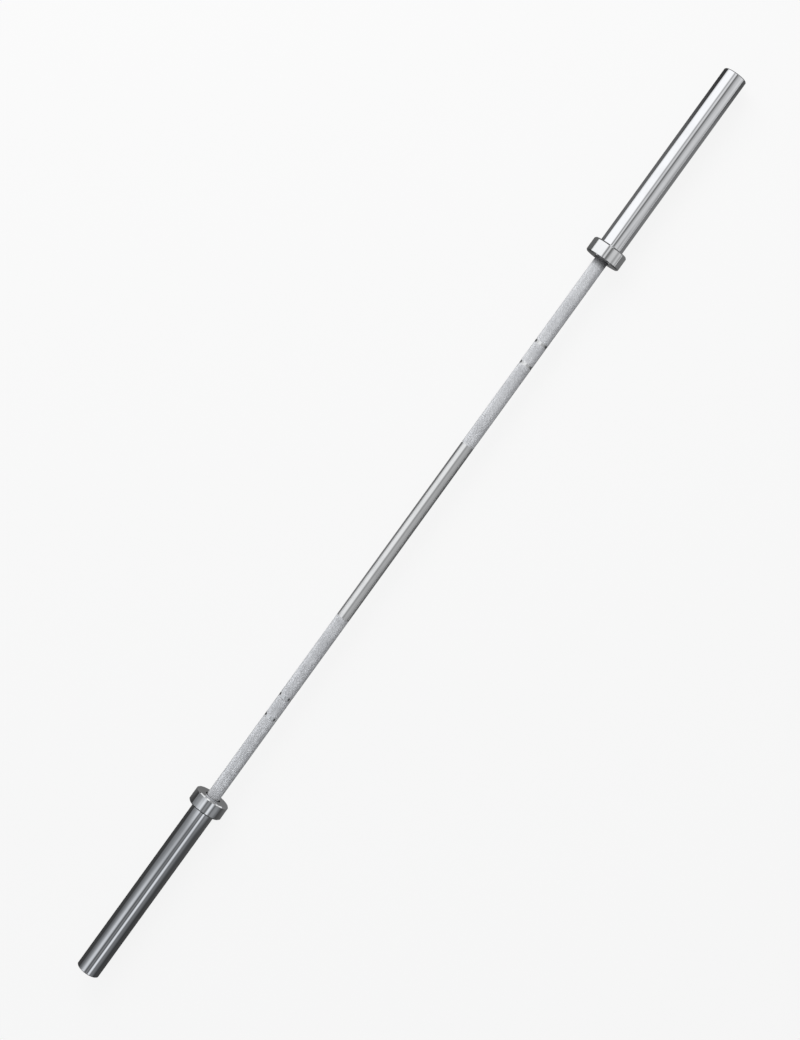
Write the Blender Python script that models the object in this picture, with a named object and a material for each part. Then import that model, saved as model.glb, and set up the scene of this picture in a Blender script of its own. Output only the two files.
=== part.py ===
"""A straight two-metre barbell with revolving sleeves, built piece by piece.

The bar lies along X with its middle at the origin. Inside each sleeve the shaft is turned down
to a journal, and the sleeve runs on it in two flanged bronze bushes and two needle bearings.
A snap ring on the shaft keeps the sleeve on, and a disc held by a retaining ring closes its end.

Sizes are in metres. Inside a sleeve, places are given as a reach: the distance outwards from
the collar's inner face, which is the face that looks at the grip.
"""

import math

import bmesh
import bpy
from mathutils import Matrix, Vector

MM = 0.001

# Driving dimensions of the whole bar
TOTAL_LENGTH = 2184 * MM
COLLAR_SPAN = 1310 * MM
SHAFT_RADIUS = 14 * MM
SLEEVE_RADIUS = 25 * MM
COLLAR_RADIUS = 37.5 * MM
COLLAR_WIDTH = 31 * MM
SLEEVE_REACH = (TOTAL_LENGTH - COLLAR_SPAN) / 2

# Grip: a smooth centre, knurling up to the collars, and two plain ring marks in each hand's area
SMOOTH_CENTRE = 420 * MM
MARK_SPANS = (810 * MM, 910 * MM)
MARK_WIDTH = 5 * MM
SMOOTH_DROP = 0.1 * MM
MARK_DROP = 0.25 * MM

# Fits
PLAY = 0.3 * MM
CUP_SPACE = 1 * MM
PRESS_GAP = 0.15 * MM
RUNNING_GAP = 0.3 * MM

# Journal: the end of the shaft that the sleeve turns on
JOURNAL_RADIUS = 12.5 * MM
SHOULDER_REACH = 8 * MM
JOURNAL_END = SLEEVE_REACH - 11 * MM
JOURNAL_CHAMFER = 1 * MM

# Collar
COLLAR_LIP = 3.7 * MM
LIP_RADIUS = 17 * MM
INNER_CHAMFER = 3.5 * MM
OUTER_CHAMFER = 1 * MM
LIP_CHAMFER = 0.4 * MM

# Bores of the sleeve tube, from wide to narrow
CAP_SEAT_RADIUS = 21 * MM
FLANGE_SEAT_RADIUS = 19 * MM
BEARING_SEAT_RADIUS = 16 * MM + PRESS_GAP
WAIST_RADIUS = 13.8 * MM
SLEEVE_CHAMFER = 1.5 * MM
MOUTH_CHAMFER = 0.5 * MM

# Flanged bush
BUSH_RADIUS = 16 * MM
BUSH_FLANGE_RADIUS = 18.7 * MM
BUSH_FLANGE = 3 * MM
BUSH_LENGTH = 25.4 * MM

# Needle bearing
CUP_WIDTH = 20 * MM
CUP_RADIUS = 16 * MM
RACE_RADIUS = 15.3 * MM
CUP_LIP = 0.9 * MM
CUP_LIP_RADIUS = 13.3 * MM
NEEDLES = 10
NEEDLE_RADIUS = 1.15 * MM
NEEDLE_CIRCLE = 13.8 * MM
CAGE_RIM = 2 * MM
RIM_INNER_RADIUS = 12.95 * MM
RIM_OUTER_RADIUS = 14.65 * MM

# Washers, seal and rings
WASHER_THICKNESS = 2 * MM
WASHER_RADIUS = 18 * MM
SEAL_THICKNESS = 3 * MM
SEAL_RADIUS = 18.7 * MM
SEAL_LIP = 0.8 * MM
RING_THICKNESS = 1.6 * MM
SNAP_DEPTH = 4.5 * MM
RETAINER_DEPTH = 4.5 * MM
GROOVE_WIDTH = 1.8 * MM
SNAP_GROOVE_RADIUS = 11.6 * MM
SNAP_INNER_RADIUS = 11.9 * MM
SNAP_OUTER_RADIUS = 14.5 * MM
RETAINER_GROOVE_RADIUS = 22.3 * MM
RETAINER_OUTER_RADIUS = 22.1 * MM
RETAINER_INNER_RADIUS = 19.2 * MM
SNAP_GAP = math.radians(34)
RETAINER_GAP = math.radians(30)
EAR_RADIUS = 2.1 * MM
EAR_HOLE_RADIUS = 0.9 * MM
SNAP_EAR_CIRCLE = SNAP_INNER_RADIUS + EAR_RADIUS + 0.4 * MM
RETAINER_EAR_CIRCLE = RETAINER_OUTER_RADIUS - EAR_RADIUS - 0.6 * MM

# End cap
CAP_THICKNESS = 5 * MM
CAP_RADIUS = 20.7 * MM
CAP_CHAMFER = 0.6 * MM
CAP_DISH_RADIUS = 15 * MM
CAP_DISH = 0.8 * MM

# Where each piece of the sleeve begins, as a reach
TUBE_START = COLLAR_LIP + PLAY
SEAL_START = TUBE_START + PLAY
INNER_WASHER_START = SHOULDER_REACH + PLAY
INNER_BUSH_START = INNER_WASHER_START + WASHER_THICKNESS + PLAY
INNER_CUP_START = INNER_BUSH_START + BUSH_LENGTH + CUP_SPACE
INNER_SEAT_END = INNER_CUP_START + CUP_WIDTH + CUP_SPACE
RETAINER_START = SLEEVE_REACH - RETAINER_DEPTH
CAP_START = RETAINER_START - PLAY - CAP_THICKNESS
SNAP_START = JOURNAL_END - SNAP_DEPTH
OUTER_WASHER_START = SNAP_START - PLAY - WASHER_THICKNESS
OUTER_BUSH_END = OUTER_WASHER_START - PLAY
OUTER_CUP_START = OUTER_BUSH_END - BUSH_LENGTH - CUP_SPACE - CUP_WIDTH
OUTER_SEAT_START = OUTER_CUP_START - CUP_SPACE

# Sides of the polygons that stand for circles
OUTER_SIDES = 32
INNER_SIDES = 20
NEEDLE_SIDES = 6
EAR_SIDES = 8
RING_STEPS = 16

FULL_TURN = 2 * math.pi
AXIS = Vector((1, 0, 0))

# Colour, roughness and metallic value of each finish
FINISHES = {
    "sleeve_chrome": ((0.78, 0.79, 0.81), 0.12, 1.0),
    "shaft_chrome": ((0.74, 0.75, 0.76), 0.30, 1.0),
    "bush_bronze": ((0.62, 0.43, 0.20), 0.35, 1.0),
    "bearing_steel": ((0.55, 0.56, 0.58), 0.25, 1.0),
    "spring_steel": ((0.06, 0.06, 0.065), 0.40, 1.0),
    "cap_steel": ((0.60, 0.61, 0.63), 0.30, 1.0),
    "seal_rubber": ((0.02, 0.02, 0.02), 0.70, 0.0),
}


def clear_scene():
    """Removes what the scene already holds."""
    for thing in list(bpy.data.objects):
        bpy.data.objects.remove(thing)


def make_finishes():
    """One Principled material for each finish, by name."""
    made = {}
    for name, (colour, roughness, metallic) in FINISHES.items():
        finish = bpy.data.materials.new(name)
        finish.use_nodes = True
        shader = finish.node_tree.nodes["Principled BSDF"]
        shader.inputs["Base Color"].default_value = (*colour, 1.0)
        shader.inputs["Roughness"].default_value = roughness
        shader.inputs["Metallic"].default_value = metallic
        finish.diffuse_color = (*colour, 1.0)
        made[name] = finish
    return made


def finish_mesh(bm, name):
    """Closes a bmesh into a mesh whose faces point out, with round parts shaded smooth."""
    bmesh.ops.remove_doubles(bm, verts=bm.verts, dist=0.001 * MM)
    bmesh.ops.recalc_face_normals(bm, faces=bm.faces)
    mesh = bpy.data.meshes.new(name)
    bm.to_mesh(mesh)
    bm.free()
    mesh.shade_smooth()
    mesh.set_sharp_from_angle(angle=math.radians(30))
    return mesh


def turn_on_lathe(name, outline, sides, closed=True):
    """A mesh turned about X from (place along X, radius) points, with a flat side down.

    An open outline starts and ends on X.
    """
    bm = bmesh.new()
    points = [bm.verts.new((x, 0, radius)) for x, radius in outline]
    pairs = list(zip(points, points[1:]))
    if closed:
        pairs.append((points[-1], points[0]))
    edges = [bm.edges.new(pair) for pair in pairs]
    half_side = Matrix.Rotation(math.pi / sides, 3, AXIS)
    bmesh.ops.rotate(bm, verts=points, cent=(0, 0, 0), matrix=half_side)
    bmesh.ops.spin(
        bm, geom=points + edges, cent=(0, 0, 0), axis=AXIS,
        angle=FULL_TURN, steps=sides, use_merge=True,
    )
    return finish_mesh(bm, name)


def band(start, end, inner, outer):
    """The outline of a plain ring."""
    return [(start, inner), (start, outer), (end, outer), (end, inner)]


def shaft_mesh():
    """The whole shaft: smooth centre, ring marks, shoulders, journals and snap ring grooves."""
    smooth = SHAFT_RADIUS - SMOOTH_DROP
    mark = SHAFT_RADIUS - MARK_DROP
    half = [(SMOOTH_CENTRE / 2, smooth), (SMOOTH_CENTRE / 2, SHAFT_RADIUS)]
    for span in MARK_SPANS:
        near, far = span / 2 - MARK_WIDTH / 2, span / 2 + MARK_WIDTH / 2
        half += [(near, SHAFT_RADIUS), (near, mark), (far, mark), (far, SHAFT_RADIUS)]
    face = COLLAR_SPAN / 2
    groove = face + SNAP_START - (GROOVE_WIDTH - RING_THICKNESS) / 2
    half += [
        (face + SHOULDER_REACH, SHAFT_RADIUS),
        (face + SHOULDER_REACH, JOURNAL_RADIUS),
        (groove, JOURNAL_RADIUS),
        (groove, SNAP_GROOVE_RADIUS),
        (groove + GROOVE_WIDTH, SNAP_GROOVE_RADIUS),
        (groove + GROOVE_WIDTH, JOURNAL_RADIUS),
        (face + JOURNAL_END - JOURNAL_CHAMFER, JOURNAL_RADIUS),
        (face + JOURNAL_END, JOURNAL_RADIUS - JOURNAL_CHAMFER),
        (face + JOURNAL_END, 0),
    ]
    mirrored = [(-x, radius) for x, radius in reversed(half)]
    return turn_on_lathe("shaft", mirrored + half, OUTER_SIDES, closed=False)


def tube_mesh():
    """The sleeve tube: stepped bore for bushes and bearings, groove and seat for the end cap."""
    groove = RETAINER_START - (GROOVE_WIDTH - RING_THICKNESS) / 2
    inner_step = INNER_BUSH_START + BUSH_FLANGE + PLAY
    outer_step = OUTER_BUSH_END - BUSH_FLANGE - PLAY
    cap_step = CAP_START - PLAY
    outline = [
        (TUBE_START, SLEEVE_RADIUS),
        (SLEEVE_REACH - SLEEVE_CHAMFER, SLEEVE_RADIUS),
        (SLEEVE_REACH, SLEEVE_RADIUS - SLEEVE_CHAMFER),
        (SLEEVE_REACH, CAP_SEAT_RADIUS + MOUTH_CHAMFER),
        (SLEEVE_REACH - MOUTH_CHAMFER, CAP_SEAT_RADIUS),
        (groove + GROOVE_WIDTH, CAP_SEAT_RADIUS),
        (groove + GROOVE_WIDTH, RETAINER_GROOVE_RADIUS),
        (groove, RETAINER_GROOVE_RADIUS),
        (groove, CAP_SEAT_RADIUS),
        (cap_step, CAP_SEAT_RADIUS),
        (cap_step, FLANGE_SEAT_RADIUS),
        (outer_step, FLANGE_SEAT_RADIUS),
        (outer_step, BEARING_SEAT_RADIUS),
        (OUTER_SEAT_START, BEARING_SEAT_RADIUS),
        (OUTER_SEAT_START, WAIST_RADIUS),
        (INNER_SEAT_END, WAIST_RADIUS),
        (INNER_SEAT_END, BEARING_SEAT_RADIUS),
        (inner_step, BEARING_SEAT_RADIUS),
        (inner_step, FLANGE_SEAT_RADIUS),
        (TUBE_START, FLANGE_SEAT_RADIUS),
    ]
    return turn_on_lathe("sleeve_tube", outline, OUTER_SIDES)


def collar_mesh():
    """The collar: a ring pressed over the tube, with a lip that covers the tube's inner end.

    Its flat sides, not its corners, lie at the collar's radius, because the bar stands on them.
    """
    bore = SLEEVE_RADIUS + PRESS_GAP
    rim = COLLAR_RADIUS / math.cos(math.pi / OUTER_SIDES)
    outline = [
        (0, LIP_RADIUS + LIP_CHAMFER),
        (0, rim - INNER_CHAMFER),
        (INNER_CHAMFER, rim),
        (COLLAR_WIDTH - OUTER_CHAMFER, rim),
        (COLLAR_WIDTH, rim - OUTER_CHAMFER),
        (COLLAR_WIDTH, bore),
        (COLLAR_LIP, bore),
        (COLLAR_LIP, LIP_RADIUS),
        (LIP_CHAMFER, LIP_RADIUS),
    ]
    return turn_on_lathe("collar", outline, OUTER_SIDES)


def bush_mesh(start, flange_first):
    """A flanged bush. Its flange is at its start or at its end."""
    bore = JOURNAL_RADIUS + RUNNING_GAP
    end = start + BUSH_LENGTH
    if flange_first:
        step, rim, tail = start + BUSH_FLANGE, start, end
    else:
        step, rim, tail = end - BUSH_FLANGE, end, start
    outline = [
        (rim, bore),
        (rim, BUSH_FLANGE_RADIUS),
        (step, BUSH_FLANGE_RADIUS),
        (step, BUSH_RADIUS),
        (tail, BUSH_RADIUS),
        (tail, bore),
    ]
    return turn_on_lathe("bush", outline, INNER_SIDES)


def cup_mesh(start):
    """A drawn bearing cup with a lip turned in at each end."""
    end = start + CUP_WIDTH
    outline = [
        (start, CUP_LIP_RADIUS),
        (start, CUP_RADIUS),
        (end, CUP_RADIUS),
        (end, CUP_LIP_RADIUS),
        (end - CUP_LIP, CUP_LIP_RADIUS),
        (end - CUP_LIP, RACE_RADIUS),
        (start + CUP_LIP, RACE_RADIUS),
        (start + CUP_LIP, CUP_LIP_RADIUS),
    ]
    return turn_on_lathe("needle_cup", outline, INNER_SIDES)


def joined(base, tools, operation="UNION"):
    """The mesh of base with each tool mesh added to it or cut from it by a Boolean."""
    scene = bpy.context.scene.collection
    target = bpy.data.objects.new("joining", base)
    scene.objects.link(target)
    helpers = [target]
    for tool in tools:
        helper = bpy.data.objects.new("tool", tool)
        scene.objects.link(helper)
        helpers.append(helper)
        boolean = target.modifiers.new("join", "BOOLEAN")
        boolean.operation = operation
        boolean.object = helper
    graph = bpy.context.evaluated_depsgraph_get()
    made = bpy.data.meshes.new_from_object(target.evaluated_get(graph))
    for helper in helpers:
        bpy.data.objects.remove(helper)
    return made


def cage_mesh(start):
    """A needle cage: two rims, and the needles that run between them."""
    low, high = start + CUP_LIP + PLAY, start + CUP_WIDTH - CUP_LIP - PLAY
    rims = bmesh.new()
    for near in (low, high - CAGE_RIM):
        rim = turn_on_lathe(
            "rim", band(near, near + CAGE_RIM, RIM_INNER_RADIUS, RIM_OUTER_RADIUS), INNER_SIDES
        )
        rims.from_mesh(rim)
    needles = bmesh.new()
    length = high - low - CAGE_RIM
    for number in range(NEEDLES):
        turn = Matrix.Rotation(FULL_TURN * (number + 0.5) / NEEDLES, 4, AXIS)
        place = Matrix.Translation(((low + high) / 2, 0, NEEDLE_CIRCLE))
        upright = Matrix.Rotation(math.pi / 2, 4, "Y")
        bmesh.ops.create_cone(
            needles, cap_ends=True, segments=NEEDLE_SIDES, radius1=NEEDLE_RADIUS,
            radius2=NEEDLE_RADIUS, depth=length, matrix=turn @ place @ upright,
        )
    return joined(finish_mesh(rims, "rims"), [finish_mesh(needles, "needles")])


def seal_mesh():
    """The rubber dust seal behind the collar's lip, thinner where it meets the shaft."""
    bore = SHAFT_RADIUS + RUNNING_GAP
    end = SEAL_START + SEAL_THICKNESS
    outline = [
        (SEAL_START + SEAL_LIP, bore),
        (SEAL_START, bore + SEAL_LIP),
        (SEAL_START, SEAL_RADIUS),
        (end, SEAL_RADIUS),
        (end, bore + SEAL_LIP),
        (end - SEAL_LIP, bore),
    ]
    return turn_on_lathe("seal", outline, INNER_SIDES)


def washer_mesh(start):
    """A plain thrust washer."""
    bore = JOURNAL_RADIUS + RUNNING_GAP
    outline = band(start, start + WASHER_THICKNESS, bore, WASHER_RADIUS)
    return turn_on_lathe("washer", outline, INNER_SIDES)


def ear_meshes(start, circle, angles):
    """The ears of a snap ring, and the holes in them, on a circle at these angles from the top."""
    ears, holes = bmesh.new(), bmesh.new()
    middle = start + RING_THICKNESS / 2
    for angle in angles:
        turn = Matrix.Rotation(angle, 4, AXIS)
        place = Matrix.Translation((middle, 0, circle))
        upright = Matrix.Rotation(math.pi / 2, 4, "Y")
        bmesh.ops.create_cone(
            ears, cap_ends=True, segments=EAR_SIDES, radius1=EAR_RADIUS,
            radius2=EAR_RADIUS, depth=RING_THICKNESS, matrix=turn @ place @ upright,
        )
        bmesh.ops.create_cone(
            holes, cap_ends=True, segments=NEEDLE_SIDES, radius1=EAR_HOLE_RADIUS,
            radius2=EAR_HOLE_RADIUS, depth=2 * RING_THICKNESS, matrix=turn @ place @ upright,
        )
    return finish_mesh(ears, "ears"), finish_mesh(holes, "ear_holes")


def open_ring_mesh(start, inner, outer, ear_circle, gap):
    """A snap ring: a flat open hoop whose two ends widen into ears with a hole for pliers."""
    bm = bmesh.new()
    outline = band(start, start + RING_THICKNESS, inner, outer)
    corners = [bm.verts.new((x, 0, radius)) for x, radius in outline]
    face = bm.faces.new(corners)
    bmesh.ops.rotate(bm, verts=corners, cent=(0, 0, 0), matrix=Matrix.Rotation(gap / 2, 3, AXIS))
    bmesh.ops.spin(
        bm, geom=[face, *face.edges, *corners], cent=(0, 0, 0), axis=AXIS,
        angle=FULL_TURN - gap, steps=RING_STEPS, use_merge=False,
    )
    hoop = finish_mesh(bm, "hoop")
    ears, holes = ear_meshes(start, ear_circle, (gap / 2, -gap / 2))
    return joined(joined(hoop, [ears]), [holes], "DIFFERENCE")


def snap_ring_mesh():
    """The external ring in the shaft's groove, with its ears outwards."""
    return open_ring_mesh(
        SNAP_START, SNAP_INNER_RADIUS, SNAP_OUTER_RADIUS, SNAP_EAR_CIRCLE, SNAP_GAP,
    )


def retainer_mesh():
    """The internal ring that holds the end cap, with its ears inwards."""
    return open_ring_mesh(
        RETAINER_START, RETAINER_INNER_RADIUS, RETAINER_OUTER_RADIUS,
        RETAINER_EAR_CIRCLE, RETAINER_GAP,
    )


def cap_mesh():
    """The end cap: a bare disc with a shallow dish in its outer face."""
    end = CAP_START + CAP_THICKNESS
    outline = [
        (CAP_START, 0),
        (CAP_START, CAP_RADIUS),
        (end - CAP_CHAMFER, CAP_RADIUS),
        (end, CAP_RADIUS - CAP_CHAMFER),
        (end, CAP_DISH_RADIUS),
        (end - CAP_DISH, CAP_DISH_RADIUS - CAP_DISH),
        (end - CAP_DISH, 0),
    ]
    return turn_on_lathe("cap", outline, OUTER_SIDES, closed=False)


def sleeve_pieces():
    """Every piece of one end: name, mesh, finish and whether it stays with the shaft."""
    return [
        ("sleeve_tube", tube_mesh(), "sleeve_chrome", False),
        ("collar", collar_mesh(), "sleeve_chrome", False),
        ("dust_seal", seal_mesh(), "seal_rubber", False),
        ("inner_bush", bush_mesh(INNER_BUSH_START, True), "bush_bronze", False),
        ("inner_needle_cup", cup_mesh(INNER_CUP_START), "bearing_steel", False),
        ("inner_needle_cage", cage_mesh(INNER_CUP_START), "bearing_steel", False),
        ("outer_needle_cup", cup_mesh(OUTER_CUP_START), "bearing_steel", False),
        ("outer_needle_cage", cage_mesh(OUTER_CUP_START), "bearing_steel", False),
        ("outer_bush", bush_mesh(OUTER_BUSH_END - BUSH_LENGTH, False), "bush_bronze", False),
        ("end_cap", cap_mesh(), "cap_steel", False),
        ("end_cap_retainer", retainer_mesh(), "spring_steel", False),
        ("inner_thrust_washer", washer_mesh(INNER_WASHER_START), "bearing_steel", True),
        ("outer_thrust_washer", washer_mesh(OUTER_WASHER_START), "bearing_steel", True),
        ("shaft_snap_ring", snap_ring_mesh(), "spring_steel", True),
    ]


def add_empty(name, place, turn, parent=None):
    """An empty on the bar's axis, turned so that its own X points outwards."""
    empty = bpy.data.objects.new(name, None)
    empty.empty_display_size = COLLAR_RADIUS
    empty.parent = parent
    empty.location = (place, 0, 0)
    empty.rotation_euler = (0, 0, turn)
    bpy.context.scene.collection.objects.link(empty)
    return empty


def add_piece(name, mesh, finish, parent):
    """One named piece of the bar."""
    piece = bpy.data.objects.new(name, mesh)
    if not mesh.materials:
        mesh.materials.append(finish)
    piece.parent = parent
    bpy.context.scene.collection.objects.link(piece)
    return piece


def main():
    """Builds the shaft, then the same set of pieces at each end."""
    clear_scene()
    finishes = make_finishes()
    middle = add_empty("bar_middle", 0, 0)
    add_piece("shaft", shaft_mesh(), finishes["shaft_chrome"], middle)
    pieces = sleeve_pieces()
    for side, sign in (("right", 1), ("left", -1)):
        turn = 0 if sign > 0 else math.pi
        shaft_end = add_empty(f"{side}_shaft_end", sign * COLLAR_SPAN / 2, turn, middle)
        sleeve_axis = add_empty(f"{side}_sleeve_axis", sign * COLLAR_SPAN / 2, turn, middle)
        for name, mesh, finish, with_shaft in pieces:
            parent = shaft_end if with_shaft else sleeve_axis
            add_piece(f"{side}_{name}", mesh, finishes[finish], parent)


main()
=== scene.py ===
"""A two-metre barbell with revolving sleeves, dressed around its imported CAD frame.

The bar lies along X with its middle at the origin, and stands on its two collars. Every piece of
an end is modelled for the right-hand end, and turned half round for the left. Places along the
bar come from the frame's nodes, and radii and details are fields of the classes. Sizes are in
metres.
"""

from __future__ import annotations

import logging
import math
import random
from dataclasses import dataclass
from enum import Enum
from functools import cache
from typing import Any, Callable, Iterable

import bmesh
import bpy
from mathutils import Matrix, Vector


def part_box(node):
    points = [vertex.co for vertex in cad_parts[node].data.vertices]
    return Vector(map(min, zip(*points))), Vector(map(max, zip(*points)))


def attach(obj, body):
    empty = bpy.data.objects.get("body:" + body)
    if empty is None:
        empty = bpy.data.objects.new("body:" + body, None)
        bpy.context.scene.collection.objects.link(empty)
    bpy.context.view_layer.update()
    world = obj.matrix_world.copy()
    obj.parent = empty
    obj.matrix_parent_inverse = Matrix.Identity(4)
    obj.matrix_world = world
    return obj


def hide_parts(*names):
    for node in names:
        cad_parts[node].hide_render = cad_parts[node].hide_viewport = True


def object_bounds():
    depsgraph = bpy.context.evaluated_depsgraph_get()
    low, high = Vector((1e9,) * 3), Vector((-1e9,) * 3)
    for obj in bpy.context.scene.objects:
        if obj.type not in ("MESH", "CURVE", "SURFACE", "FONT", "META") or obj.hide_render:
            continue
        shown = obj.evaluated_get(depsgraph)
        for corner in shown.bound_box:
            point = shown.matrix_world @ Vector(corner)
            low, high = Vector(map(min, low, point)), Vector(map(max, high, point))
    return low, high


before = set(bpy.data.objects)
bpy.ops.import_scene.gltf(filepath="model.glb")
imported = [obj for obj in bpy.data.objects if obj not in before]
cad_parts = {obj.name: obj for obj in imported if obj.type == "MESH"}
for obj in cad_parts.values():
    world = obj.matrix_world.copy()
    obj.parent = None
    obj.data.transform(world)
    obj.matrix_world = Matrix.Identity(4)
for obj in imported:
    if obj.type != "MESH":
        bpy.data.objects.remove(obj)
CAD_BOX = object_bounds()

LOG = logging.getLogger("barbell")

MM = 0.001
FULL_TURN = 2 * math.pi
AXIS = Vector((1.0, 0.0, 0.0))
MERGE_WITHIN = 0.001 * MM
FLAT_ANGLE = math.radians(0.5)
SHARP_ANGLE = math.radians(30)
EDGE_STEPS = 2
GRAIN_DETAIL = 3.0
OUTER_SIDES = 128
INNER_SIDES = 96
BAR_BODY = "bar"
SLEEVE_BODY = "{side}_sleeve"

BMesh = bmesh.types.BMesh
Colour = tuple[float, float, float]
Outline = list[tuple[float, float]]
Levels = tuple[tuple[float, float], ...]


class Side(Enum):
    """An end of the bar, with the turn about Z that brings a right-hand mesh to it."""

    RIGHT = 0.0
    LEFT = math.pi

    @property
    def word(self) -> str:
        """The word that the end's nodes and bodies begin with."""
        return self.name.lower()

    @property
    def turn(self) -> Matrix:
        """The turn that brings a right-hand mesh to this end."""
        return Matrix.Rotation(self.value, 4, "Z")


class Slot(Enum):
    """A material slot, which each finish carries."""

    SLEEVE = "sleeve_chrome"
    SHAFT = "shaft_chrome"
    BRONZE = "bush_bronze"
    BEARING = "bearing_steel"
    SPRING = "spring_steel"
    CAP = "cap_steel"
    RUBBER = "seal_rubber"


# Shader nodes


def grey(value: float) -> tuple[float, float, float, float]:
    """A grey, as a shader socket takes it."""
    return (value, value, value, 1.0)


@dataclass(frozen=True)
class Cloud:
    """A cloudy pattern: clouds to the metre, detail, and the noise at a cloud's rim and core."""

    scale: float
    detail: float
    low: float
    high: float


def maths(operation: str, flipped: bool = False) -> Callable[[Wire, Wire | float], Wire]:
    """An operator on a wire and another term, or on that term and the wire where it is flipped."""

    def operator(wire: Wire, other: Wire | float) -> Wire:
        """A Math node on both terms."""
        terms = (other, wire) if flipped else (wire, other)
        return wire.net.add("ShaderNodeMath", {"operation": operation}, dict(enumerate(terms)))

    return operator


class Wire:
    """A shader socket that stands in Python arithmetic for the number it carries."""

    def __init__(self, net: Net, socket: bpy.types.NodeSocket) -> None:
        """Keeps the socket, and the net that new nodes go into."""
        self.net = net
        self.socket = socket

    __add__ = maths("ADD")
    __radd__ = maths("ADD", flipped=True)
    __sub__ = maths("SUBTRACT")
    __rsub__ = maths("SUBTRACT", flipped=True)
    __mul__ = maths("MULTIPLY")
    __rmul__ = maths("MULTIPLY", flipped=True)
    __truediv__ = maths("DIVIDE")
    __rtruediv__ = maths("DIVIDE", flipped=True)
    __pow__ = maths("POWER")
    # The larger of the two.
    __or__ = maths("MAXIMUM")
    # The angle, in radians, whose tangent is this wire over the other.
    angle_from = maths("ARCTAN2")

    def other(self, name: str) -> Wire:
        """Another output of the same node."""
        return Wire(self.net, self.socket.node.outputs[name])


class Net:
    """A node tree in the making."""

    def __init__(self, tree: bpy.types.NodeTree) -> None:
        """Starts from an empty tree."""
        tree.nodes.clear()
        self.tree = tree

    def add(
        self, kind: str, settings: dict[str, Any] | None = None,
        inputs: dict[str | int, Any] | None = None, output: str | int = 0,
    ) -> Wire:
        """Adds a node.

        Args:
            kind: The node's type.
            settings: Its properties, set first. "stops" are a ramp's (place, colour) pairs.
            inputs: A value or a wire for each of its sockets, by name or number.
            output: The output wanted, by name or number.

        Returns:
            The output's wire, or a wire on the first input where the node has no output.
        """
        node = self.tree.nodes.new(kind)
        for name, value in (settings or {}).items():
            if name == "stops":
                self._set_stops(node.color_ramp, value)
            else:
                setattr(node, name, value)
        for key, value in (inputs or {}).items():
            if isinstance(value, Wire):
                self.tree.links.new(value.socket, node.inputs[key])
            else:
                node.inputs[key].default_value = value
        return Wire(self, node.outputs[output] if node.outputs else node.inputs[0])

    @staticmethod
    def _set_stops(ramp: bpy.types.ColorRamp, stops: Iterable[tuple[float, Colour]]) -> None:
        """Gives a ramp these stops, in rising order."""
        stops = list(stops)
        while len(ramp.elements) < len(stops):
            ramp.elements.new(1.0)
        for element, (place, colour) in zip(ramp.elements, stops):
            element.position = place
            element.color = (*colour, 1.0)

    def ramp(self, factor: Wire, stops: Iterable[tuple[float, Colour]]) -> Wire:
        """A colour that changes smoothly from stop to stop."""
        return self.add("ShaderNodeValToRGB", {"stops": stops}, {"Fac": factor})

    def blend(self, factor: Wire | float, first: Any, second: Any) -> Wire:
        """A colour between two, each a colour or a wire."""
        first, second = (c if isinstance(c, Wire) else (*c, 1.0) for c in (first, second))
        inputs = {0: factor, 6: first, 7: second}
        return self.add("ShaderNodeMix", {"data_type": "RGBA"}, inputs, output=2)

    def rise(self, value: Wire, low: float, high: float) -> Wire:
        """A number that rises smoothly from 0 to 1 as the value goes from low to high."""
        inputs = {"Value": value, "From Min": low, "From Max": high}
        return self.add("ShaderNodeMapRange", {"interpolation_type": "SMOOTHSTEP"}, inputs)

    def place(self) -> Wire:
        """The point's place on the object."""
        return self.add("ShaderNodeTexCoord", output="Object")

    def parts(self, place: Wire) -> tuple[Wire, Wire, Wire]:
        """The three coordinates of a place."""
        x = self.add("ShaderNodeSeparateXYZ", inputs={0: place})
        return x, x.other("Y"), x.other("Z")

    def join(self, x: Wire | float, y: Wire | float, z: Wire | float) -> Wire:
        """A place from three coordinates."""
        return self.add("ShaderNodeCombineXYZ", inputs={0: x, 1: y, 2: z})

    def stretched(self, place: Wire, factors: tuple[float, float, float]) -> Wire:
        """A place with each coordinate multiplied."""
        return self.add("ShaderNodeVectorMath", {"operation": "MULTIPLY"}, {0: place, 1: factors})

    def noise(self, place: Wire, scale: float, detail: float = 2.0) -> Wire:
        """Cloudy noise, about 0.5, at this many clouds to the metre."""
        inputs = {"Vector": place, "Scale": scale, "Detail": detail}
        return self.add("ShaderNodeTexNoise", inputs=inputs)

    def clouded(self, place: Wire, cloud: Cloud) -> Wire:
        """A number that rises from 0 outside such clouds to 1 inside them."""
        return self.rise(self.noise(place, cloud.scale, cloud.detail), cloud.low, cloud.high)

    def glow(self, colour: Wire | float, strength: float = 1.0) -> Wire:
        """An even light, of a grey or of a wire's colour."""
        shade = colour if isinstance(colour, Wire) else grey(colour)
        return self.add("ShaderNodeEmission", inputs={"Color": shade, "Strength": strength})

    def bump(self, height: Wire, depth: float, under: Wire | None = None) -> Wire:
        """A bumped normal, from a height between 0 and 1 over this depth in metres.

        Args:
            height: The height.
            depth: How far the highest point stands above the lowest.
            under: Another bumped normal that this one goes on, if there is one.

        Returns:
            The normal.
        """
        inputs = {"Height": height, "Distance": depth} | ({"Normal": under} if under else {})
        return self.add("ShaderNodeBump", inputs=inputs)


# Finishes


def new_material(name: str, build: Callable[[Net], Wire]) -> bpy.types.Material:
    """A material whose shader the given function builds."""
    made = bpy.data.materials.new(name)
    made.use_nodes = True
    net = Net(made.node_tree)
    net.add("ShaderNodeOutputMaterial", inputs={"Surface": build(net)})
    return made


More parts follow.
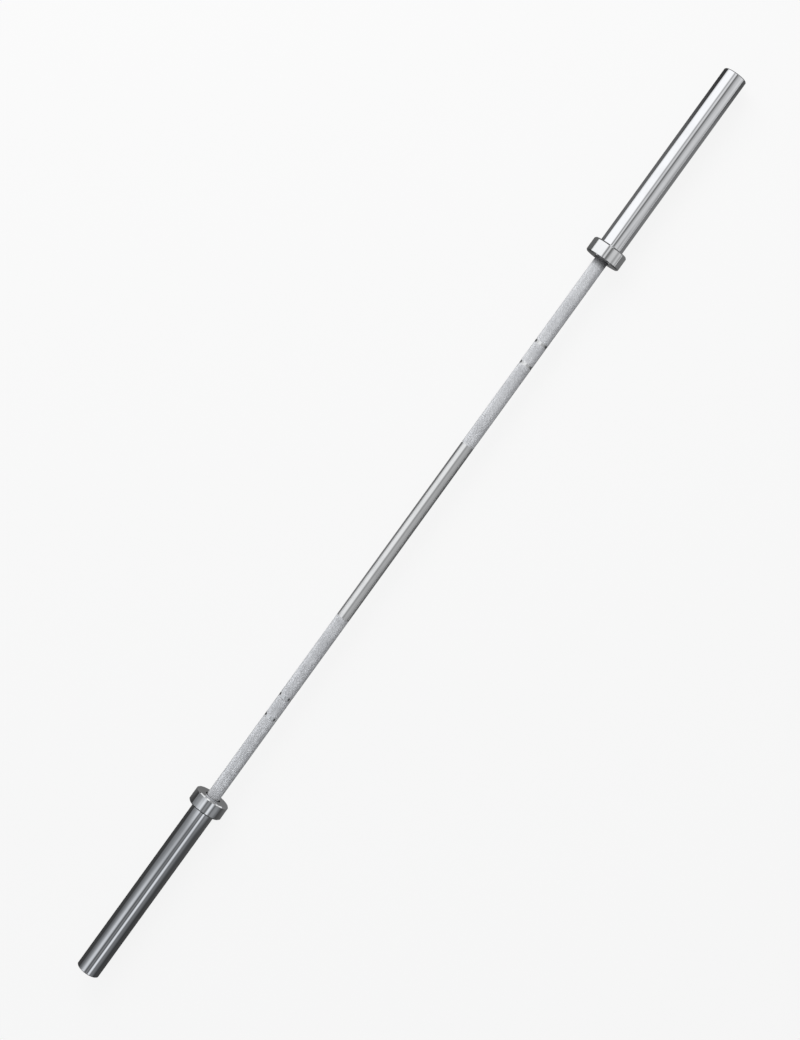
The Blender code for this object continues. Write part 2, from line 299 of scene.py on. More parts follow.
@dataclass(frozen=True)
class Finish:
    """What every finish has: a name, a slot, a clean and a stained colour, and a roughness."""

    name: str
    slot: Slot
    colour: Colour
    stain: Colour
    roughness: float

    def looks(self, net: Net) -> dict[str, Any]:
        """The shader's inputs, which each kind of finish builds its own way."""
        raise NotImplementedError

    def shader(self, net: Net) -> Wire:
        """The finish's shader."""
        return net.add("ShaderNodeBsdfPrincipled", inputs=self.looks(net))

    @cache
    def material(self) -> bpy.types.Material:
        """The finish as a material, made once."""
        made = new_material(self.name, self.shader)
        made.diffuse_color = (*self.colour, 1.0)
        return made


@dataclass(frozen=True)
class TurnedMetal(Finish):
    """Metal off the lathe: fine rings, lengthwise polishing streaks and scuffs, and smudges."""

    ring_pitch: float = 0.35 * MM
    ring_depth: float = 0.0006 * MM
    streak_depth: float = 0.004 * MM
    streak_stretch: tuple[float, float, float] = (5.0, 420.0, 420.0)
    smudges: Cloud = Cloud(28.0, 4.0, 0.42, 0.68)
    smudge: float = 0.06
    smudge_stain: float = 0.5
    scuffs: Cloud = Cloud(1.0, 2.0, 0.55, 0.75)
    scuff_stretch: tuple[float, float, float] = (14.0, 900.0, 900.0)
    scuff: float = 0.05
    scuff_stain: float = 0.3

    def looks(self, net: Net) -> dict[str, Any]:
        """Rings as bump, scuffs and smudges as roughness, and stains as colour."""
        place = net.place()
        x, y, z = net.parts(place)
        radius = (y * y + z * z) ** 0.5
        rings = net.noise(net.join(x, radius, 0.0), 1 / self.ring_pitch, 1.0)
        smudges = net.clouded(place, self.smudges)
        scuffs = net.clouded(net.stretched(place, self.scuff_stretch), self.scuffs)
        streaks = net.noise(net.stretched(place, self.streak_stretch), 1.0)
        turned_normal = net.bump(rings, self.ring_depth)
        stains = smudges * self.smudge_stain + scuffs * self.scuff_stain
        return {
            "Base Color": net.blend(stains, self.colour, self.stain),
            "Metallic": 1.0,
            "Roughness": self.roughness + smudges * self.smudge + scuffs * self.scuff,
            "Normal": net.bump(streaks, self.streak_depth, turned_normal),
        }


@dataclass(frozen=True)
class KnurledSteel(Finish):
    """Plated knurling: bright worn tips, and duller valleys that are darker in colour.

    Beside the right collar its colour carries a painted shadow of the collar, dark at the collar's
    face and thinning out along the bar.
    """

    tip_radius: float = 14.0 * MM
    root_radius: float = 13.62 * MM
    metallic: float = 0.8
    grime: float = 0.15
    # The share by which the valleys' colour is darkened, by their depth.
    grime_stain: float = 0.7
    wear: Cloud = Cloud(34.0, 5.0, 0.38, 0.66)
    wear_dullness: float = 0.08
    wear_stain: float = 0.3
    grain_scale: float = 2600.0
    grain_depth: float = 0.006 * MM
    # Painted shadow of the right collar on the knurling: its dark colour, where along the bar it
    # starts and where it is full, and the width and scale of its uneven edge.
    grease: Colour = (0.17, 0.17, 0.175)
    grease_start: float = 639.0 * MM
    grease_full: float = 656.5 * MM
    grease_edge: float = 6.0 * MM
    grease_scale: float = 160.0

    def looks(self, net: Net) -> dict[str, Any]:
        """Valleys found by their distance from the axis, with cloudy wear along the bar."""
        place = net.place()
        x, y, z = net.parts(place)
        radius = (y * y + z * z) ** 0.5
        valley = net.rise(radius, self.tip_radius, self.root_radius)
        wear = net.clouded(place, self.wear)
        grain = net.noise(place, self.grain_scale, GRAIN_DETAIL)
        stains = valley * self.grime_stain + wear * self.wear_stain
        metal = net.blend(stains, self.colour, self.stain)
        # Painted shadow: the colour goes dark towards the right collar's face, over an uneven edge.
        painted_shadow_wobble = net.noise(place, self.grease_scale, GRAIN_DETAIL) * self.grease_edge
        painted_shadow_share = net.rise(x + painted_shadow_wobble, self.grease_start, self.grease_full)
        return {
            "Base Color": net.blend(painted_shadow_share, metal, self.grease),
            "Metallic": self.metallic,
            "Roughness": self.roughness + valley * self.grime + wear * self.wear_dullness,
            "Normal": net.bump(grain, self.grain_depth),
        }


@dataclass(frozen=True)
class Mottled(Finish):
    """A mottled surface over a fine grain: blackened and slightly oily, or with a dull bloom."""

    mottle: Cloud
    dullness: float
    metallic: float
    grain_scale: float
    grain_depth: float

    def looks(self, net: Net) -> dict[str, Any]:
        """The mottle in colour and roughness, and the grain as bump."""
        place = net.place()
        mottle = net.clouded(place, self.mottle)
        grain = net.noise(place, self.grain_scale, GRAIN_DETAIL)
        return {
            "Base Color": net.blend(mottle, self.colour, self.stain),
            "Metallic": self.metallic,
            "Roughness": self.roughness + mottle * self.dullness,
            "Normal": net.bump(grain, self.grain_depth),
        }


SLEEVE_CHROME = TurnedMetal(
    "sleeve_chrome", Slot.SLEEVE, (0.78, 0.79, 0.81), (0.70, 0.71, 0.73), 0.03,
    smudge=0.03, scuff=0.03,
)
COLLAR_CHROME = TurnedMetal(
    "collar_chrome", Slot.SLEEVE, (0.78, 0.79, 0.80), (0.68, 0.69, 0.70), 0.035,
    ring_pitch=0.5 * MM, ring_depth=0.0012 * MM, smudge=0.03, scuff=0.03,
)
SHAFT_CHROME = TurnedMetal(
    "shaft_chrome", Slot.SHAFT, (0.76, 0.77, 0.78), (0.68, 0.69, 0.70), 0.05,
)
KNURL_CHROME = KnurledSteel(
    "knurl_chrome", Slot.SHAFT, (0.82, 0.83, 0.85), (0.66, 0.67, 0.69), 0.42,
)
BUSH_BRONZE = TurnedMetal(
    "bush_bronze", Slot.BRONZE, (0.62, 0.43, 0.20), (0.45, 0.29, 0.13), 0.30,
    smudge=0.12,
)
BEARING_STEEL = TurnedMetal(
    "bearing_steel", Slot.BEARING, (0.55, 0.56, 0.58), (0.46, 0.46, 0.47), 0.20,
)
CAP_STEEL = TurnedMetal(
    "cap_steel", Slot.CAP, (0.60, 0.61, 0.63), (0.50, 0.51, 0.53), 0.20,
    ring_pitch=0.6 * MM, ring_depth=0.004 * MM,
)
SPRING_BLACK = Mottled(
    "spring_steel", Slot.SPRING, (0.05, 0.05, 0.055), (0.10, 0.095, 0.09), 0.36,
    Cloud(420.0, 4.0, 0.35, 0.7), dullness=0.2, metallic=0.8,
    grain_scale=3000.0, grain_depth=0.004 * MM,
)
SEAL_RUBBER = Mottled(
    "seal_rubber", Slot.RUBBER, (0.018, 0.018, 0.019), (0.04, 0.04, 0.04), 0.62,
    Cloud(260.0, 4.0, 0.4, 0.75), dullness=0.15, metallic=0.0,
    grain_scale=2200.0, grain_depth=0.01 * MM,
)


# Mesh making


def reach(node: str, play: float = 0.0) -> tuple[float, float]:
    """Where a right-hand node begins and ends along the bar, with some play at both ends."""
    low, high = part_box(f"right_{node}")
    return low.x - play, high.x + play


def linked(name: str, data: bpy.types.ID) -> bpy.types.Object:
    """A new object in the scene."""
    thing = bpy.data.objects.new(name, data)
    bpy.context.scene.collection.objects.link(thing)
    return thing


def stored(bm: BMesh, name: str = "part") -> bpy.types.Mesh:
    """A working mesh as mesh data. The working mesh is freed."""
    mesh = bpy.data.meshes.new(name)
    bm.to_mesh(mesh)
    bm.free()
    return mesh


def joined(parts: Iterable[BMesh]) -> BMesh:
    """Several working meshes as one."""
    bm = bmesh.new()
    for part in parts:
        mesh = stored(part)
        bm.from_mesh(mesh)
        bpy.data.meshes.remove(mesh)
    return bm


def clean(bm: BMesh) -> BMesh:
    """Closes seams and poles, and turns every face outwards."""
    bmesh.ops.remove_doubles(bm, verts=bm.verts, dist=MERGE_WITHIN)
    bmesh.ops.recalc_face_normals(bm, faces=bm.faces)
    return bm


def turned(
    outline: Outline, sides: int = OUTER_SIDES, closed: bool = True, sweep: float = FULL_TURN
) -> BMesh:
    """Turns an outline about X.

    Args:
        outline: (place along X, radius) points. An open outline starts and ends on X.
        sides: How many flats stand for the round.
        closed: Whether the last point joins the first.
        sweep: The angle of the turn, centred on the top.

    Returns:
        The turned mesh, closed where it goes all the way round.
    """
    bm = bmesh.new()
    points = [bm.verts.new((x, 0, radius)) for x, radius in outline]
    pairs = list(zip(points, points[1:])) + ([(points[-1], points[0])] if closed else [])
    edges = [bm.edges.new(pair) for pair in pairs]
    back = Matrix.Rotation(-sweep / 2, 3, AXIS)
    bmesh.ops.rotate(bm, verts=points, matrix=back)
    bmesh.ops.spin(
        bm, geom=points + edges, axis=AXIS, angle=sweep, steps=sides,
        use_merge=sweep == FULL_TURN,
    )
    return clean(bm)


def band(start: float, end: float, inner: float, outer: float) -> Outline:
    """The outline of a plain ring."""
    return [(start, inner), (start, outer), (end, outer), (end, inner)]


def repeated(source: BMesh, count: int, shift: float = 0.0) -> BMesh:
    """Copies a mesh round X, evenly, the first one turned by a share of the pitch."""
    mesh = stored(source)
    bm = bmesh.new()
    for number in range(count):
        start = len(bm.verts)
        bm.from_mesh(mesh)
        bm.verts.ensure_lookup_table()
        turn = Matrix.Rotation(FULL_TURN * (number + shift) / count, 3, AXIS)
        bmesh.ops.rotate(bm, verts=bm.verts[start:], matrix=turn)
    bpy.data.meshes.remove(mesh)
    return bm


def grid(columns: int = 1, rows: int = 1, size: float = 1.0) -> BMesh:
    """A flat square grid about the origin."""
    bm = bmesh.new()
    bmesh.ops.create_grid(bm, x_segments=columns, y_segments=rows, size=size / 2)
    return bm


def block(size: Iterable[float], middle: Iterable[float]) -> BMesh:
    """A box of this size about this middle."""
    bm = bmesh.new()
    bmesh.ops.create_cube(bm, size=1.0)
    bmesh.ops.scale(bm, vec=size, verts=bm.verts)
    bmesh.ops.translate(bm, vec=middle, verts=bm.verts)
    return bm


def carved(base: BMesh, tools: list[tuple[BMesh, str]]) -> BMesh:
    """Joins or cuts a mesh with others by Booleans.

    Args:
        base: The mesh to start from.
        tools: Each tool's mesh, with UNION or DIFFERENCE.

    Returns:
        The finished mesh.
    """
    helpers = [linked("helper", stored(bm)) for bm in (base, *(tool for tool, _ in tools))]
    target = helpers[0]
    for helper, (_, operation) in zip(helpers[1:], tools):
        boolean = target.modifiers.new("carve", "BOOLEAN")
        boolean.operation = operation
        boolean.object = helper
    made = bmesh.new()
    made.from_object(target, bpy.context.evaluated_depsgraph_get())
    for helper in helpers:
        bpy.data.objects.remove(helper)
    bmesh.ops.dissolve_limit(made, angle_limit=FLAT_ANGLE, verts=made.verts, edges=made.edges)
    return clean(made)


def add_piece(
    name: str, bm: BMesh, finish: Finish, body: str, node: str,
    edge: float = 0.0, smooth: bool = True,
) -> None:
    """Makes a finished piece of a mesh that is already in its place.

    Args:
        name: The piece's name.
        bm: Its mesh, which is freed.
        finish: Its finish.
        body: The CAD body that it moves with.
        node: The CAD node that it stands for.
        edge: The width of the rounding on its sharp edges, or 0 for none.
        smooth: Whether its round faces are shaded smooth.
    """
    mesh = stored(bm, name)
    mesh.materials.append(finish.material())
    piece = linked(f"{name}_finished", mesh)
    if smooth:
        mesh.shade_smooth()
    if edge:
        bevel = piece.modifiers.new("edges", "BEVEL")
        bevel.limit_method = "ANGLE"
        bevel.angle_limit = SHARP_ANGLE
        bevel.width = edge
        bevel.segments = EDGE_STEPS
        bevel.harden_normals = True
    elif smooth:
        mesh.set_sharp_from_angle(angle=SHARP_ANGLE)
    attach(piece, body)
    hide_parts(node)
    LOG.info("%s: %d faces, on %s, for %s", name, len(mesh.polygons), body, node)


# The shaft


@dataclass
class Shaft:
    """The one-piece shaft: polished centre, knurled grips, plain ring marks and two journals."""

    smooth_radius: float = 13.9 * MM
    mark_radius: float = 13.75 * MM
    seat_radius: float = 13.5 * MM
    seat_sink: float = 0.05 * MM
    smooth_end: float = 210 * MM
    mark_centres: tuple[float, float] = (405 * MM, 455 * MM)
    mark_width: float = 5 * MM
    grip_past_face: float = 0.5 * MM
    shoulder: float = 8 * MM
    journal_radius: float = 12.5 * MM
    groove_radius: float = 11.6 * MM
    groove_play: float = 0.1 * MM
    chamfer: float = 1 * MM
    centre_hole: float = 2 * MM
    centre_depth: float = 7 * MM
    centre_cone: float = 1.73
    diamonds: int = 60
    diamond_length: float = 2.54 * MM
    runout_rows: int = 3
    runout_radius: float = 13.78 * MM
    tip_wear: float = 0.03 * MM
    wear_seed: int = 7

    @property
    def face(self) -> float:
        """Where the collars' inner faces are, from the bar's middle."""
        return reach("collar")[0]

    def grips(self) -> list[tuple[float, float]]:
        """Where each band of knurling begins and ends, on the right-hand side."""
        half_mark = self.mark_width / 2
        starts = [self.smooth_end] + [centre + half_mark for centre in self.mark_centres]
        ends = [centre - half_mark for centre in self.mark_centres]
        return list(zip(starts, ends + [self.face + self.grip_past_face]))

    def core(self) -> BMesh:
        """The turned bar, with seats where the knurled bands lie."""
        half: Outline = [(self.smooth_end, self.smooth_radius)]
        for start, end in self.grips():
            half += [(start, self.seat_radius), (end, self.seat_radius)]
            if end < self.mark_centres[-1]:
                half += [(end, self.mark_radius), (end + self.mark_width, self.mark_radius)]
        ring_start, ring_end = reach("shaft_snap_ring", self.groove_play)
        _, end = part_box("shaft")
        shoulder = self.face + self.shoulder
        small = self.chamfer / 2
        half += [
            (self.face + self.grip_past_face, self.smooth_radius),
            (shoulder - small, self.smooth_radius), (shoulder, self.smooth_radius - small),
            (shoulder, self.journal_radius), (ring_start, self.journal_radius),
            (ring_start, self.groove_radius), (ring_end, self.groove_radius),
            (ring_end, self.journal_radius), (end.x - self.chamfer, self.journal_radius),
            (end.x, self.journal_radius - self.chamfer), (end.x, 2 * self.centre_hole),
            (end.x - self.centre_cone * self.centre_hole, self.centre_hole),
            (end.x - self.centre_depth, self.centre_hole),
            (end.x - self.centre_depth - self.centre_hole, 0.0),
        ]
        mirrored = [(-x, radius) for x, radius in reversed(half)]
        return turned(mirrored + half, closed=False)

    def grip(self, start: float, end: float) -> BMesh:
        """One band of diamond knurling: a grid of tips and valleys, rolled up and closed.

        Every second point of the grid is a tip. An edge joins the two valley points of each
        square, so that four squares' halves make each pyramid.

        Args:
            start: Where the band begins along the bar.
            end: Where it ends.

        Returns:
            The band as a closed tube.
        """
        rows = round(2 * (end - start) / self.diamond_length)
        columns = 2 * self.diamonds
        bm = grid(rows, columns)
        chance = random.Random(self.wear_seed)
        valleys = []
        for vert in bm.verts:
            row = round((vert.co.x + 0.5) * rows)
            column = round((vert.co.y + 0.5) * columns)
            fade = min(1.0, row / self.runout_rows, (rows - row) / self.runout_rows)
            if (row + column) % 2:
                valleys.append(vert)
                full = KNURL_CHROME.root_radius
            else:
                seam_free = 0 < column < columns
                full = KNURL_CHROME.tip_radius - self.tip_wear * chance.random() * seam_free
            radius = self.runout_radius + (full - self.runout_radius) * fade
            angle = FULL_TURN * column / columns
            along = start + (end - start) * row / rows
            vert.co = (along, radius * math.sin(angle), radius * math.cos(angle))
        bmesh.ops.connect_verts(bm, verts=valleys)
        bmesh.ops.remove_doubles(bm, verts=bm.verts, dist=MERGE_WITHIN)
        rims = [edge for edge in bm.edges if edge.is_boundary]
        walls = bmesh.ops.extrude_edge_only(bm, edges=rims)["geom"]
        inner = [item for item in walls if isinstance(item, bmesh.types.BMVert)]
        shrink = (self.seat_radius - self.seat_sink) / self.runout_radius
        bmesh.ops.scale(bm, vec=(1.0, shrink, shrink), verts=inner)
        loops = [edge for edge in bm.edges if edge.is_boundary]
        bmesh.ops.bridge_loops(bm, edges=loops)
        return clean(bm)

    def dress(self) -> None:
        """Adds the core, and the knurling of each side."""
        add_piece("shaft_core", self.core(), SHAFT_CHROME, BAR_BODY, "shaft")
        for side in Side:
            knurling = joined(self.grip(start, end) for start, end in self.grips())
            bmesh.ops.transform(knurling, matrix=side.turn, verts=knurling.verts)
            name = f"{side.word}_knurling"
            add_piece(name, knurling, KNURL_CHROME, BAR_BODY, "shaft", smooth=False)


# The ends


@dataclass
class EndAssembly:
    """Some pieces of one end, with a way to put each in its place."""

    side: Side

    def fit(
        self, name: str, bm: BMesh, finish: Finish, body: str = SLEEVE_BODY,
        node: str | None = None, edge: float = 0.15 * MM,
    ) -> None:
        """Turns a right-hand mesh to this end, and adds it as a piece.

        Args:
            name: The piece's name, without its side.
            bm: Its mesh at the right-hand end.
            finish: Its finish.
            body: Its body's name, with {side} where the side's word goes.
            node: The node it stands for, without its side, if that isn't the piece's name.
            edge: The width of the rounding on its edges.
        """
        bmesh.ops.transform(bm, matrix=self.side.turn, verts=bm.verts)
        word = self.side.word
        node = f"{word}_{node or name}"
        add_piece(f"{word}_{name}", bm, finish, body.format(side=word), node, edge)

    def dress(self) -> None:
        """Adds the assembly's pieces, which each kind of assembly does its own way."""
        raise NotImplementedError


@dataclass
class Sleeve(EndAssembly):
    """The tube that plates slide on, and the collar that stops them."""

    radius: float = 25 * MM
    end_chamfer: float = 1.5 * MM
    start_chamfer: float = 0.8 * MM
    mouth_chamfer: float = 0.5 * MM
    cap_seat: float = 21 * MM
    retainer_groove: float = 22.3 * MM
    groove_play: float = 0.1 * MM
    flange_seat: float = 19 * MM
    flange: float = 3 * MM
    bearing_seat: float = 16.15 * MM
    waist: float = 13.8 * MM
    seat_play: float = 0.3 * MM
    cup_space: float = 1 * MM
    collar_radius: float = 37.5 * MM
    collar_bore: float = 25.15 * MM
    collar_lip: float = 3.7 * MM
    lip_radius: float = 17 * MM
    lip_chamfer: float = 0.4 * MM
    inner_chamfer: float = 2.2 * MM
    outer_chamfer: float = 2.6 * MM
    bore_chamfer: float = 0.7 * MM

    def tube(self) -> BMesh:
        """The tube, with its stepped bore and the groove of the retaining ring."""
        start, end = reach("sleeve_tube")
        ring_start, ring_end = reach("end_cap_retainer", self.groove_play)
        cap_step = reach("end_cap")[0] - self.seat_play
        outer_step = reach("outer_bush")[1] - self.flange - self.seat_play
        inner_step = reach("inner_bush")[0] + self.flange + self.seat_play
        outer_seat = reach("outer_needle_cup")[0] - self.cup_space
        inner_seat = reach("inner_needle_cup")[1] + self.cup_space
        return turned([
            (start, self.radius - self.start_chamfer), (start + self.start_chamfer, self.radius),
            (end - self.end_chamfer, self.radius), (end, self.radius - self.end_chamfer),
            (end, self.cap_seat + self.mouth_chamfer), (end - self.mouth_chamfer, self.cap_seat),
            (ring_end, self.cap_seat), (ring_end, self.retainer_groove),
            (ring_start, self.retainer_groove), (ring_start, self.cap_seat),
            (cap_step, self.cap_seat), (cap_step, self.flange_seat),
            (outer_step, self.flange_seat), (outer_step, self.bearing_seat),
            (outer_seat, self.bearing_seat), (outer_seat, self.waist),
            (inner_seat, self.waist), (inner_seat, self.bearing_seat),
            (inner_step, self.bearing_seat), (inner_step, self.flange_seat),
            (start, self.flange_seat),
        ])

    def collar(self) -> BMesh:
        """The collar, with its wide inner chamfer and the lip that covers the tube's end."""
        start, end = reach("collar")
        return turned([
            (start, self.lip_radius + self.lip_chamfer),
            (start, self.collar_radius - self.inner_chamfer),
            (start + self.inner_chamfer, self.collar_radius),
            (end - self.outer_chamfer, self.collar_radius),
            (end, self.collar_radius - self.outer_chamfer),
            (end, self.collar_bore + self.bore_chamfer),
            (end - self.bore_chamfer, self.collar_bore),
            (start + self.collar_lip, self.collar_bore), (start + self.collar_lip, self.lip_radius),
            (start + self.lip_chamfer, self.lip_radius),
        ])

    def dress(self) -> None:
        """Adds the tube and the collar."""
        self.fit("sleeve_tube", self.tube(), SLEEVE_CHROME)
        self.fit("collar", self.collar(), COLLAR_CHROME, edge=0.18 * MM)


@dataclass
class DustSeal(EndAssembly):
    """The rubber ring behind the collar's lip, with a spring groove in its face."""

    bore: float = 14.3 * MM
    radius: float = 18.7 * MM
    lip: float = 0.8 * MM
    groove_middle: float = 16.6 * MM
    groove_half: float = 0.5 * MM

    def ring(self) -> BMesh:
        """The seal's ring: two lips on the shaft, and the groove in the face that shows."""
        start, end = reach("dust_seal")
        low, high = self.groove_middle - self.groove_half, self.groove_middle + self.groove_half
        return turned([
            (start + self.lip, self.bore), (start, self.bore + self.lip), (start, low),
            (start + self.groove_half, low + self.groove_half / 2),
            (start + self.groove_half, high - self.groove_half / 2),
            (start, high), (start, self.radius), (end, self.radius),
            (end, self.bore + self.lip), (end - self.lip, self.bore),
        ], sides=INNER_SIDES)

    def dress(self) -> None:
        """Adds the seal."""
        self.fit("dust_seal", self.ring(), SEAL_RUBBER, edge=0.12 * MM)


@dataclass
class Bushes(EndAssembly):
    """The two flanged bronze bushes that the sleeve turns on."""

    bore: float = 12.8 * MM
    radius: float = 16 * MM
    flange_radius: float = 18.7 * MM
    flange: float = 3 * MM
    chamfer: float = 0.6 * MM
    oil_groove: float = 0.5 * MM
    oil_groove_width: float = 2.4 * MM
    oil_grooves: int = 2

    def bush(self, start: float, end: float) -> BMesh:
        """A bush with its flange at the start, which may lie beyond the end.

        Args:
            start: Where the flange's face is.
            end: Where the other end is.

        Returns:
            The bush's mesh.
        """
        way = math.copysign(1.0, end - start)
        outline = [
            (start, self.bore + self.chamfer), (start, self.flange_radius),
            (start + way * self.flange, self.flange_radius),
            (start + way * self.flange, self.radius),
            (end - way * self.chamfer, self.radius), (end, self.radius - self.chamfer),
            (end, self.bore + self.chamfer), (end - way * self.chamfer, self.bore),
        ]
        for number in range(self.oil_grooves, 0, -1):
            middle = start + (end - start) * number / (self.oil_grooves + 1)
            far, near = (middle + way * s * self.oil_groove_width / 2 for s in (1, -1))
            deep = self.bore + self.oil_groove
            outline += [(far, self.bore), (far, deep), (near, deep), (near, self.bore)]
        outline.append((start + way * self.chamfer, self.bore))
        return turned(outline, sides=INNER_SIDES)

    def dress(self) -> None:
        """Adds the inner bush, whose flange is first, and the outer one, whose flange is last."""
        self.fit("inner_bush", self.bush(*reach("inner_bush")), BUSH_BRONZE)
        start, end = reach("outer_bush")
        self.fit("outer_bush", self.bush(end, start), BUSH_BRONZE)


@dataclass
class NeedleBearing(EndAssembly):
    """A drawn cup, a cage with a pocket for each needle, and the needles."""

    place: str
    cup_radius: float = 16 * MM
    race_radius: float = 15.3 * MM
    lip: float = 0.9 * MM
    lip_radius: float = 13.3 * MM
    needles: int = 20
    needle_radius: float = 1.15 * MM
    needle_circle: float = 13.8 * MM
    needle_sides: int = 14
    dome: float = 0.5 * MM
    dome_width: float = 0.6
    rim: float = 2 * MM
    rim_sides: int = 80
    rim_inner: float = 12.95 * MM
    rim_outer: float = 14.65 * MM
    bar_width: float = 1.3 * MM
    bar_inner: float = 13.2 * MM
    bar_outer: float = 14.2 * MM
    play: float = 0.1 * MM

    def cup(self) -> BMesh:
        """The cup, with a lip turned in at each end."""
        start, end = reach(f"{self.place}_needle_cup")
        return turned([
            (start, self.lip_radius), (start, self.cup_radius),
            (end, self.cup_radius), (end, self.lip_radius),
            (end - self.lip, self.lip_radius), (end - self.lip, self.race_radius),
            (start + self.lip, self.race_radius), (start + self.lip, self.lip_radius),
        ], sides=INNER_SIDES)

    def cage(self) -> BMesh:
        """Two rims and the bars between the needles."""
        start, end = reach(f"{self.place}_needle_cage")
        rims = [
            turned(band(low, low + self.rim, self.rim_inner, self.rim_outer), self.rim_sides)
            for low in (start, end - self.rim)
        ]
        size = (end - start - self.rim, self.bar_width, self.bar_outer - self.bar_inner)
        middle = ((start + end) / 2, 0, (self.bar_inner + self.bar_outer) / 2)
        return joined([*rims, repeated(block(size, middle), self.needles, shift=0.5)])

    def rollers(self) -> BMesh:
        """The needles, with domed ends, in their pockets."""
        start, end = reach(f"{self.place}_needle_cage")
        low, high = start + self.rim + self.play, end - self.rim - self.play
        domed = self.needle_radius * self.dome_width
        needle = turned([
            (low, 0.0), (low + self.dome / 4, domed), (low + self.dome, self.needle_radius),
            (high - self.dome, self.needle_radius), (high - self.dome / 4, domed), (high, 0.0),
        ], self.needle_sides, closed=False)
        bmesh.ops.translate(needle, vec=(0, 0, self.needle_circle), verts=needle.verts)
        return repeated(needle, self.needles)

    def dress(self) -> None:
        """Adds the cup on the sleeve, and the cage and its needles on their own body."""
        cage = f"{self.place}_needle_cage"
        body = "{side}_" + f"{self.place}_cage"
        self.fit(f"{self.place}_needle_cup", self.cup(), BEARING_STEEL, edge=0.3 * MM)
        self.fit(cage, self.cage(), BEARING_STEEL, body)
        rollers = f"{self.place}_needles"
        self.fit(rollers, self.rollers(), BEARING_STEEL, body, node=cage, edge=0.0)


@dataclass
class ThrustWashers(EndAssembly):
    """The two washers that take the sleeve's end load, with oil slots in their faces."""

    bore: float = 12.8 * MM
    radius: float = 18 * MM
    slots: int = 6
    slot_width: float = 1.6 * MM
    slot_depth: float = 0.4 * MM

    def washer(self, name: str) -> BMesh:
        """A washer with radial oil slots cut across its inner face."""
        start, end = reach(name)
        disc = turned(band(start, end, self.bore, self.radius), INNER_SIDES)
        size = (2 * self.slot_depth, self.slot_width, self.radius)
        cutter = block(size, (start, 0, self.radius))
        return carved(disc, [(repeated(cutter, self.slots, shift=0.5), "DIFFERENCE")])

    def dress(self) -> None:
        """Adds both washers, which stay with the shaft."""
        for name in ("inner_thrust_washer", "outer_thrust_washer"):
            self.fit(name, self.washer(name), BEARING_STEEL, BAR_BODY)


class Grip(Enum):
    """What a retaining ring holds on to: a shaft inside it, or a bore round it."""

    SHAFT = 1
    BORE = -1


@dataclass
class RetainingRing(EndAssembly):
    """A flat open ring that is narrower towards its gap, with an eye for pliers at each end."""

    node: str
    body: str
    grip: Grip
    inner: float
    outer: float
    gap: float
    ear_circle: float
    ear_radius: float = 2.1 * MM
    eye_radius: float = 0.9 * MM
    taper: float = 0.35
    steps: int = 90
    ear_sides: int = 28
    ear_inset: float = 0.02 * MM

    def _studs(self, radius: float, length: float) -> BMesh:
        """A round stud at each end of the ring, of this radius and length along X."""
        start, end = reach(self.node)
        studs = bmesh.new()
        for way in (-1, 1):
            turn = Matrix.Rotation(way * self.gap / 2, 4, AXIS)
            place = Matrix.Translation(((start + end) / 2, 0, self.ear_circle))
            lying = Matrix.Rotation(math.pi / 2, 4, "Y")
            half_flat = Matrix.Rotation(math.pi / self.ear_sides, 4, "Z")
            bmesh.ops.create_cone(
                studs, cap_ends=True, segments=self.ear_sides, radius1=radius,
                radius2=radius, depth=length, matrix=turn @ place @ lying @ half_flat,
            )
        return studs

    def ring(self) -> BMesh:
        """The hoop, with its ears joined on and its eyes cut out."""
        start, end = reach(self.node)
        hoop = bmesh.new()
        corners = [hoop.verts.new((x, 0, r)) for x, r in band(start, end, self.inner, self.outer)]
        face = hoop.faces.new(corners)
        back = Matrix.Rotation(self.gap / 2, 3, AXIS)
        bmesh.ops.rotate(hoop, verts=corners, matrix=back)
        bmesh.ops.spin(
            hoop, geom=[face, *face.edges, *corners], axis=AXIS, angle=FULL_TURN - self.gap,
            steps=self.steps, use_merge=False,
        )
        held = self.inner if self.grip is Grip.SHAFT else self.outer
        for vert in hoop.verts:
            radius = math.hypot(vert.co.y, vert.co.z)
            near_gap = (1 + vert.co.z / radius) / 2
            width = (radius - held) * (1 - self.taper * near_gap)
            scale = (held + width) / radius
            vert.co = (vert.co.x, vert.co.y * scale, vert.co.z * scale)
        clean(hoop)
        thickness = end - start
        return carved(hoop, [
            (self._studs(self.ear_radius, thickness - 2 * self.ear_inset), "UNION"),
            (self._studs(self.eye_radius, 2 * thickness), "DIFFERENCE"),
        ])

    def dress(self) -> None:
        """Adds the ring."""
        self.fit(self.node, self.ring(), SPRING_BLACK, self.body, edge=0.1 * MM)


@dataclass
class EndCap(EndAssembly):
    """The plain disc that closes the sleeve, with a shallow dish and a centre mark."""

    radius: float = 20.7 * MM
    chamfer: float = 0.6 * MM
    dish_radius: float = 15 * MM
    dish: float = 0.8 * MM
    centre_mark: float = 1.2 * MM

    def disc(self) -> BMesh:
        """The disc: a flat rim, the dish and the small cone that the lathe's centre leaves."""
        start, end = reach("end_cap")
        floor = end - self.dish
        return turned([
            (start, 0.0), (start, self.radius - self.chamfer),
            (start + self.chamfer, self.radius), (end - self.chamfer, self.radius),
            (end, self.radius - self.chamfer), (end, self.dish_radius),
            (floor, self.dish_radius - self.dish), (floor, self.centre_mark),
            (floor - self.centre_mark / 2, 0.0),
        ], closed=False)

    def dress(self) -> None:
        """Adds the cap."""
        self.fit("end_cap", self.disc(), CAP_STEEL)


# Studio


